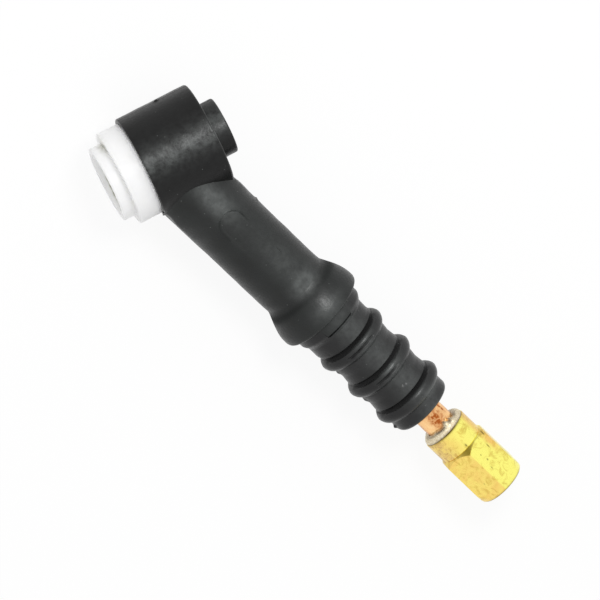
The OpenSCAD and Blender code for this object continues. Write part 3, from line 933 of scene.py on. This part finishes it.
seat_r = 7.97
land_r = 7.06
flange_slope = ((49.6, seat_r), (50.0, 7.74), (50.5, 7.42), (51.0, 7.07), (51.5, land_r))
rib_places = (56.1, 64.2, 72.3)
rib_sizes = (8.02, 8.02, 7.95)
rib_half = 1.82
rib_foot = 2.2                     # behind each rib's crest, where the waist starts
rib_blend = 0.06
rib_lean = 0.35                    # of the ribs towards the tail, on the upper side
undercut = 0.95
undercut_half = 0.36
undercut_place = 1.44              # before each rib's crest
rib_seam = 0.12                    # behind a rib's crest, where the mould's seam tore
rib_seam_depth = 0.45
rib_seam_width = 0.3
lean_rise = (50.6, 53.5)
lean_fall = (74.5, 76.6)
land_shift = 0.2                   # of the land's axis towards -Y
land_rise = (50.3, 51.3)
land_fall = (53.4, 54.3)
waist_sizes = (6.55, 6.64)
# Behind a rib's crest, and above the waist's radius
waist_shape = ((rib_foot, 0.24), (4.0, 0), (5.9, 0.2), (6.5, 0.32))
tail_shift = 0.11                  # of the tail's axis towards +Y
tail_rise = (69.5, 72.0)
tail_r = 6.62
seat_end = 77.3
seat_rim = 0.95
seat_smoothing = 0.25              # half the stretch that the sleeve's knots are averaged over
seat_chamfer = 0.15
seat_mouth = 0.1
tail_mouth = 0.2
seat_core_r = 6.0
seat_bore_r = 3.23
seat_front_bore_r = 4.23
seat_bore_start = 51.43
keyway_ramp = (50.13, 50.29)       # where the keyway's floor rises to the flange
keyway_edge = 0.1
key_clearance = 0.15
waves_start = 50.4
seat_columns = 300
seat_row = 0.115
seat_core_row = 0.8


def sleeve_radius(x):
    """Sleeve without its ribs, straight between knots: flange, land, waists and tail."""
    knots = [(boot_end, seat_r), *flange_slope, (rib_places[0], land_r - 0.1)]
    for rib_x, waist_r in zip(rib_places, waist_sizes):
        knots += [(rib_x + behind, waist_r + above) for behind, above in waist_shape]
    knots += [(rib_places[-1] + rib_foot, tail_r), (seat_end, tail_r)]
    return np.interp(x, *np.transpose(knots))


def seat_skin(x):
    """Sleeve, smoothed by averaging, with bead ribs as half circles."""
    r = np.mean([sleeve_radius(x + shift)
                 for shift in np.linspace(-seat_smoothing, seat_smoothing, 15)], axis=0)
    for rib_x, rib_r in zip(rib_places, rib_sizes):
        crown = rib_r - rib_half + np.sqrt(np.maximum(rib_half ** 2 - (x - rib_x) ** 2, 0))
        r = np.where(np.abs(x - rib_x) < rib_half, -soft_least(-r, -crown, rib_blend), r)
    return r


skin_x = np.arange(boot_end + piece_gap, seat_end - seat_rim, seat_row)
stations, radii = outline([
    [(seat_start, seat_front_bore_r + seat_mouth), (seat_start, seat_core_r - seat_chamfer)],
    [(seat_start + seat_chamfer, seat_core_r), (boot_end + piece_gap, seat_core_r)],
    np.stack([skin_x, seat_skin(skin_x)], axis=1),
    arc(seat_end - seat_rim, tail_r - seat_rim, seat_rim, 90, 0, 12),
    [(seat_end, seat_bore_r + tail_mouth), (seat_end - tail_mouth, seat_bore_r)],
    [(seat_bore_start, seat_bore_r), (seat_bore_start, seat_front_bore_r)],
], seat_core_row)
turns = around(seat_columns)
along, wall = stations + 0 * turns, radii + 0 * turns
outside = wall > seat_core_r + 0.02
off_key = np.abs(-lip_r * np.sin(turns) - tongue_y)
keyed = soft_step(tongue_half - key_clearance - off_key, -keyway_edge, keyway_edge) \
    * (np.cos(turns) > 0) * (1 - soft_step(along, *keyway_ramp))
wall = np.where(outside, wall - keyed * (wall - seat_core_r), wall)
wall = wall + np.where(outside & (along > waves_start) & (along < seat_end - 0.5),
                       uneven(along, turns, land_r, skin_waves)
                       + parting_height * ridge(wall * np.cos(turns), parting_width), 0)
skin_share = np.clip((wall - seat_core_r) / 0.3, 0, 1)
wall = wall + skin_share * np.sin(turns) * (land_shift * on_stretch(along, land_rise, land_fall)
                                            - tail_shift * soft_step(along, *tail_rise))


def swing(turns, degrees):
    """Turn from a given angle, in radians between minus and plus a half turn."""
    return (turns - math.radians(degrees) + math.pi) % (2 * math.pi) - math.pi


# Blisters, pits and lumps of flash that the moulding left:
# (station, turn in degrees, radius, height)
for spot_x, spot_turn, spot_r, spot_h in (
        (68.1, -5, 0.42, -0.18), (68.9, -9, 0.3, 0.12), (66.9, -14, 0.2, -0.12),
        (60.6, 12, 0.25, -0.1), (59.3, 30, 0.2, 0.08), (75.2, -6, 0.22, 0.1),
        (53.4, 48, 0.25, -0.1), (62.4, 160, 0.3, -0.12), (58.8, 86, 0.55, 0.26),
        (67.1, 88, 0.75, 0.34), (75.6, 87, 0.45, 0.5)):
    away = np.hypot(along - spot_x, wall * swing(turns, spot_turn))
    wall = wall + np.where(outside, spot_h * ridge(away, spot_r), 0)
# Undercut before each rib, which fades out towards the sides
open_side = soft_step(np.cos(turns), 0.3, 0.7)
for rib_x in rib_places:
    off = (along - (rib_x - undercut_place)) / undercut_half
    wall = wall - outside * undercut * open_side * np.exp(-off ** 4)
# Torn mould seam behind two ribs' crests, on the upper side:
# (rib, its middle and half its length in degrees)
for rib_x, seam_turn, seam_half in ((rib_places[0], 0, 34), (rib_places[1], 2, 30)):
    ragged = 0.05 * np.sin(9 * turns + rib_x) + 0.04 * np.sin(23 * turns)
    reach = 1 - soft_step(np.abs(swing(turns, seam_turn)), math.radians(seam_half - 12),
                          math.radians(seam_half))
    wall = wall - outside * reach * (rib_seam_depth + 1.6 * ragged) \
        * ridge(along - (rib_x + rib_seam + ragged), rib_seam_width)
along = along + outside * rib_lean * on_stretch(along, lean_rise, lean_fall) \
    * np.maximum(np.cos(turns), 0) ** 2
seat = piece_of("seat_rubber", turned(turns, neck_way, (along, wall)))


def hollows(x, y, z):
    """Undercuts and torn seams of the ribs, which stay matt and free of the painted highlight."""
    shade = sum(ridge(x - (rib_x - undercut_place + rib_lean), 0.42)
                * (np.hypot(y, z) < land_r + 0.1) * 1.5 for rib_x in rib_places)
    shade = shade + sum(ridge(x - (rib_x + rib_seam + rib_lean), 0.34) * ridge(y + 0.4, 2.8)
                        for rib_x in rib_places[:2])
    return np.minimum(shade, 1) * (z > 0)


def painted_seat_sheen(x, y, z):
    """Painted highlight: a paler sleeve on the upper side, on its lands, behind the last rib and
    in a streak on the middle rib, kept out of the hollows.
    """
    lands = ridge(y - 1.6, 3.2) * 0.65 * (1 - 0.5 * ridge(x - 73.5, 1.8))
    behind = ridge(x - 73.9, 1.0) * ridge(y - 4.0, 3.0) * 0.7
    streak = ridge(x - 64.0, 0.5) * ridge(y - 1.2, 1.1)
    return (z > 0) * (lands + behind + streak) * (1 - hollows(x, y, z))


# The sleeve's pale marks are painted highlights on its upper side.
marked(seat, "painted_sheen", painted_seat_sheen)
marked(seat, "matt", hollows)
seat.data.materials.append(
    silicone_rubber("grey_sleeve_silicone", "#131313", "#1b1b1c", 0.42, 0.28, 0.03, 0.4))
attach(seat, "handle_end")
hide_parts("handle_seat")


# ---------------------------------------------------------------------------------------------
# Rear tube. Quarter-inch copper tube that carries gas and current from the cable's connector to
# the neck's brass coupling. Where it shows, it is painted with shade along its sides and where it
# leaves the rubber, with a painted dark reflection line and a red-brown patch on top, and splashes
# of silver solder have run up from the joint.

rear_start = 45.26
rear_end = 87.9
rear_bore_r = 2.4
rear_sight = (78, 82.3)            # stretch that shows between the rubber and the solder
rear_columns = 128
rear_row = 0.2

stations, radii = outline([
    [(rear_start, tube_r), (rear_end, tube_r), (rear_end, rear_bore_r), (rear_start, rear_bore_r)]
], rear_row)
turns = around(rear_columns)
along, wall = stations + 0 * turns, radii + 0 * turns
dent = 0.02 * np.sin(3 * turns + along * 1.1) * np.sin(along * 2.3 + turns)
in_sight = (wall > rear_bore_r + 0.1) & (along > rear_sight[0]) & (along < rear_sight[1])
wall = wall + np.where(in_sight, dent, 0)
rear_tube = piece_of("rear_copper", turned(turns, neck_way, (along, wall)))


def painted_shade_and_red_patch(x, y, z):
    """A red-brown patch on top, a painted dark reflection line beside it, painted shade along both
    sides, and a painted shadow where the tube leaves the rubber."""
    patch = 1.2 * ridge(x - 79.9, 1.8) * (ridge(y + 0.2, 0.9) + 0.6 * ridge(y - 1.2, 0.8))
    painted_reflection_line = 0.9 * ridge(y - 2.5 - 0.05 * (x - 79), 0.16) * (1 - soft_step(x, 79.8, 81.2))
    painted_limb_shade = 0.55 * ridge(y + 3.1, 0.22) + 0.35 * ridge(y - 3.15, 0.15)
    return (patch + painted_reflection_line + painted_limb_shade + 0.7 * ridge(x - 77.6, 0.5)) * (z > 0)


# The rear tube's mark paints shade on its sides and at the rubber, a dark reflection line, and a
# red-brown patch.
marked(rear_tube, "painted_shade_and_red_patch", painted_shade_and_red_patch)
rear_tube.data.materials.append(
    copper("brazed_copper", "#ffd69c", "#f9c285", "#ac5c28", 0.34, 0.22))
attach(rear_tube, "handle_end")
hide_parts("rear_tube")


# ---------------------------------------------------------------------------------------------
# Solder. Silver solder fills the joint between the tube and the connector as a bead whose edges
# wander, and lies as small fillets round the tube's joints inside the neck.

bead_end = 83.5
bead_back = bead_end - piece_gap
bead_width = 1.3
bead_r = 4.82
bead_inner_r = tube_r + piece_gap
bead_edge_r = tube_r + 0.05
bead_columns = 200

turns = around(bead_columns)
sweep = np.radians(np.linspace(0, 90, 14))[:, None]
edge = 1 + 0.05 * np.sin(2 * turns + 0.7) + 0.04 * np.sin(5 * turns + 2) \
    + 0.03 * np.sin(9 * turns)
# Tongues of solder that ran up the tube: (turn, width in radians, length)
for run_turn, run_width, run_length in ((-12, 0.16, 0.75), (-34, 0.12, 0.45),
                                        (30, 0.2, 0.3), (150, 0.3, 0.4)):
    edge = edge + run_length * ridge(swing(turns, run_turn), run_width)
bead_top = bead_edge_r + (bead_r - bead_edge_r) * np.sin(sweep) ** 0.8 + 0 * turns
bead_x = bead_back - bead_width * edge * np.cos(sweep) ** 0.8
grit = 0.015 * np.sin(31 * turns + 9 * sweep) * np.sin(23 * turns - 14 * sweep)
bead_top = np.minimum(bead_top + grit, bead_r)
braze = piece_of("braze_bead", turned(
    turns, neck_way, (bead_x, bead_top),
    (bead_back, between(bead_top[-1:], bead_inner_r, 6)[1:-1]),
    (between(bead_back, bead_x[:1], 6)[:-1], bead_inner_r)))


def painted_bead_shade(x, y, z):
    """Painted brown shade in the corner against the collar, and thinly at the front edge."""
    return ridge(x - bead_end, 0.26) * (0.4 + 0.6 * ridge(y, 3.8)) \
        + 0.35 * ridge(x - (bead_end - bead_width), 0.15)


marked(braze, "painted_bead_shade", painted_bead_shade)

# Silver solder, as it froze: dull beige-grey, grainy, with painted brown shade in the corner
# against the collar and at its front edge.
silver_solder = bpy.data.materials.new("frozen_silver_solder")
tree = blank_tree(silver_solder)
grains = add(tree, "TexNoise", {"Vector": in_millimetres(tree), "Scale": 3.2, "Detail": 4.0,
                                "Roughness": 0.7})
hollow = add(tree, "MapRange", [grains, 0.4, 0.6, 1.0, 0.0])
solder_shade_mask = add(tree, "Attribute", attribute_name="painted_bead_shade").outputs["Fac"]
bump = add(tree, "Bump", {"Height": grains, "Distance": 0.035 * mm})
# The brown #4a3418 over the piece's mark is painted shade in the bead's corners.
finished(tree, {"Base Color": coated(tree, "#f0e6cc", (hollow, "#cdbc9a"), (solder_shade_mask, "#4a3418")),
                "Metallic": 0.85, "Roughness": 0.48, "Normal": bump})
braze.data.materials.append(silver_solder)
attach(braze, "handle_end")
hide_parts("braze_ring")
for name in ("head_braze", "coupling_braze"):
    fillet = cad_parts[name]
    fillet.data.materials.clear()
    fillet.data.materials.append(silver_solder)


# ---------------------------------------------------------------------------------------------
# Neck coupling. A short brass sleeve, turned from bar, that joins the flexible tube to the rigid
# one inside the boot.

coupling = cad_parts["neck_coupling"]
coupling.data.materials.clear()
coupling.data.materials.append(machined_brass("coupling_brass"))


# ---------------------------------------------------------------------------------------------
# Cable connector. Hexagon brass bar with a turned collar that is brazed to the tube. Both ends of
# the hexagon are chamfered on the lathe, so its flats end in arcs, and the far end is bored and
# threaded for the power cable.

collar_start = 83.5
collar_r = 5.0
collar_edge = 0.12
hex_start = 88.5
hex_flat = 5.35                    # from the axis to each flat
hex_turn = math.radians(3)
hex_edge = 0.05
chamfer_start_r = 5.22
chamfer_slope = 0.82
chamfer_blend = 0.015
nose_start = 97.8
nose_slope = 0.337
nose_corner_r = 6.18
nose_blend = 0.02
connector_end = 100.7
end_bevel = 0.3
cable_r = 3.5
cable_end = 89.7
cable_mouth = 0.5
cable_cone = 0.6
cable_pitch = 1.06                 # 24 threads to the inch
cable_depth = 0.42
tube_fit_r = 3.23
passage_bore_r = 2.4
bore_row = 0.15
connector_columns = 360


def connector_skin(x, turns):
    """Collar, then the least of the hexagon's flats, the near chamfer's cone and the nose."""
    around_flat = (turns - hex_turn + math.pi / 6) % (math.pi / 3) - math.pi / 6
    around_flat = math.pi / 6 - np.abs(around_flat)
    flats = hex_flat / np.cos(around_flat)
    other = hex_flat / np.cos(math.pi / 3 - around_flat)
    flats = soft_least(flats, other, hex_edge)
    near = chamfer_start_r + chamfer_slope * (x - hex_start)
    nose = nose_corner_r - nose_slope * np.maximum(x - nose_start, 0)
    body = soft_least(flats + 0 * x, near + 0 * turns, chamfer_blend)
    return np.where(x < hex_start, collar_r, soft_least(body, nose + 0 * turns, nose_blend))


collar_rows = np.arange(collar_start + collar_edge, hex_start - 0.02, 0.2)
# Rows lie closest on the near chamfer, and closer on the nose than on the flats.
hex_rows = hex_start + np.concatenate([np.arange(0.0, 1.5, 0.04), np.arange(1.5, 9, 0.25),
                                       np.arange(9, connector_end - hex_start - end_bevel, 0.1)])
turns = around(connector_columns)
skin_x = np.concatenate([collar_rows, hex_rows])[:, None] + 0 * turns
skin_r = connector_skin(skin_x, turns)
stations, radii = outline([
    [(connector_end, cable_r + cable_mouth), (connector_end - cable_mouth, cable_r)],
    [(cable_end + cable_cone, cable_r), (cable_end, passage_bore_r),
     (rear_end + piece_gap, passage_bore_r)],
    [(rear_end + piece_gap, tube_fit_r), (collar_start, tube_fit_r),
     (collar_start, collar_r - collar_edge)],
], bore_row, closed=False)
bore_x, bore_r = stations + 0 * turns, radii + 0 * turns
in_thread = (bore_r < cable_r + 0.01) & (bore_x > cable_end + 0.5)
bore_r = bore_r + np.where(in_thread, helix(bore_x, turns, cable_end + thread_runout,
                                            connector_end - thread_lead, cable_pitch,
                                            cable_depth), 0)
connector = piece_of("connector_brass", turned(
    turns, neck_way, (skin_x, skin_r), (connector_end, skin_r[-1:] - end_bevel),
    (bore_x, bore_r)), sharp=24)


def on_chamfer(x, y, z):
    """1 on the near chamfer, for a painted reflection of the dark rubber, and at the far rim and
    in the collar's corner against the solder, for painted shade.
    """
    cone = np.hypot(y, z) - (chamfer_start_r + chamfer_slope * (x - hex_start))
    near = (np.abs(cone) < 0.06) & (x > hex_start - 0.03) & (x < hex_start + 1.6)
    far = ridge(x - connector_end, 0.3) * (np.hypot(y, z) > 4.95)
    return near * (0.15 + 0.85 * ridge(y, 2.6)) + far \
        + ridge(x - collar_start, 0.24) * ridge(y, 3.8) * (z > 0)


def painted_orange_shade(x, y, z):
    """Painted shade, in orange: on the -Y flats, along the far side's edge, and less of it towards
    the far end."""
    low = 1 / (1 + np.exp((y + 0.32) / np.where(x > hex_start, 0.04, 0.9)))
    far_edge = soft_step(y, 3.3, 4.6) * (1 - soft_step(x, 91, 96)) * (z > 0)
    return 0.75 * low + far_edge


def dented(x, y, z):
    """Small dark nicks on the upper flats and the collar: short Gaussian dashes."""
    nicks = ((87.9, 0.55, 0.36, 0.16), (93.2, 1.5, 0.2, 0.14), (91.5, 1.2, 0.1, 0.1),
             (96.6, -2.6, 0.14, 0.1), (95.0, 0.9, 0.35, 0.07), (91.6, 3.6, 0.5, 0.1),
             (89.1, 4.7, 0.5, 0.13))
    return (z > 0) * sum(ridge(x - nick_x, long) * ridge(y - nick_y, wide)
                         for nick_x, nick_y, long, wide in nicks)


def painted_collar_shade(x, y, z):
    """Painted grey-beige shade on the collar's -Y side, and a little of it at its +Y edge."""
    return (x < hex_start) * (z > 0) * (soft_step(-y, 1.2, 3.6) + soft_step(y, 3.6, 4.6) * 0.4)


marked(connector, "painted_collar_shade", painted_collar_shade)
marked(connector, "painted_reflection_and_shade", on_chamfer)
marked(connector, "painted_orange_shade", painted_orange_shade)
marked(connector, "dented", dented)

# Drawn hexagon brass: lemon, with painted orange shade on the -Y flats and the far edge, painted
# grey-beige shade on the collar's -Y side, olive smudges, a painted olive-brown reflection on the
# near chamfer with painted shade at the far rim and at the collar's corner, and small dark nicks.
hexagon_brass = bpy.data.materials.new("drawn_hexagon_brass")
tree = blank_tree(hexagon_brass)
place = in_millimetres(tree)
wander = add(tree, "TexNoise", {"Vector": place, "Scale": 0.45, "Detail": 4.0,
                                "Roughness": 0.65, "Distortion": 0.6})
wander = add(tree, "MapRange", [wander, 0.35, 0.65, 0.65, 1.15])
smudge_and_shade_noise = add(tree, "TexNoise", {"Vector": place, "Scale": 0.55, "Detail": 5.0,
                              "Roughness": 0.65, "Distortion": 1.2})
collar_shade_pattern = add(tree, "MapRange", [smudge_and_shade_noise, 0.4, 0.6, 0.1, 0.95])
smudge = add(tree, "MapRange", [smudge_and_shade_noise, 0.5, 0.66, 0.0, 0.6])
# The olive-brown #8d7a2e on the chamfer mark is a painted reflection of the dark rubber, with
# painted shade at the far rim and the collar's corner.
painted_chamfer_mark, nicked = (add(tree, "Attribute", attribute_name=mark).outputs["Fac"]
                for mark in ("painted_reflection_and_shade", "dented"))
drawn = add(tree, "Mapping", {"Vector": place, "Scale": (0.35, 2.5, 2.5)})
lines = add(tree, "TexNoise", {"Vector": drawn, "Scale": 2.0, "Detail": 4.0})
bump = add(tree, "Bump", {"Height": lines, "Distance": 0.008 * mm})
# The orange #f5ca70 and grey-beige #cfae78 are painted shade on the -Y side and along the far
# edge.
finished(tree, {
    "Base Color": coated(tree, "#fdf680", (broken_up(tree, "painted_orange_shade", wander), "#f5ca70"),
                         (broken_up(tree, "painted_collar_shade", collar_shade_pattern), "#cfae78"), (smudge, "#c9a544"),
                         (painted_chamfer_mark, "#8d7a2e"), (nicked, "#6e5a20")),
    "Metallic": 1.0, "Roughness": add(tree, "MapRange", [smudge, 0.0, 0.5, 0.24, 0.38]),
    "Normal": bump})
connector.data.materials.append(hexagon_brass)
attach(connector, "handle_end")
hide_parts("cable_connector")
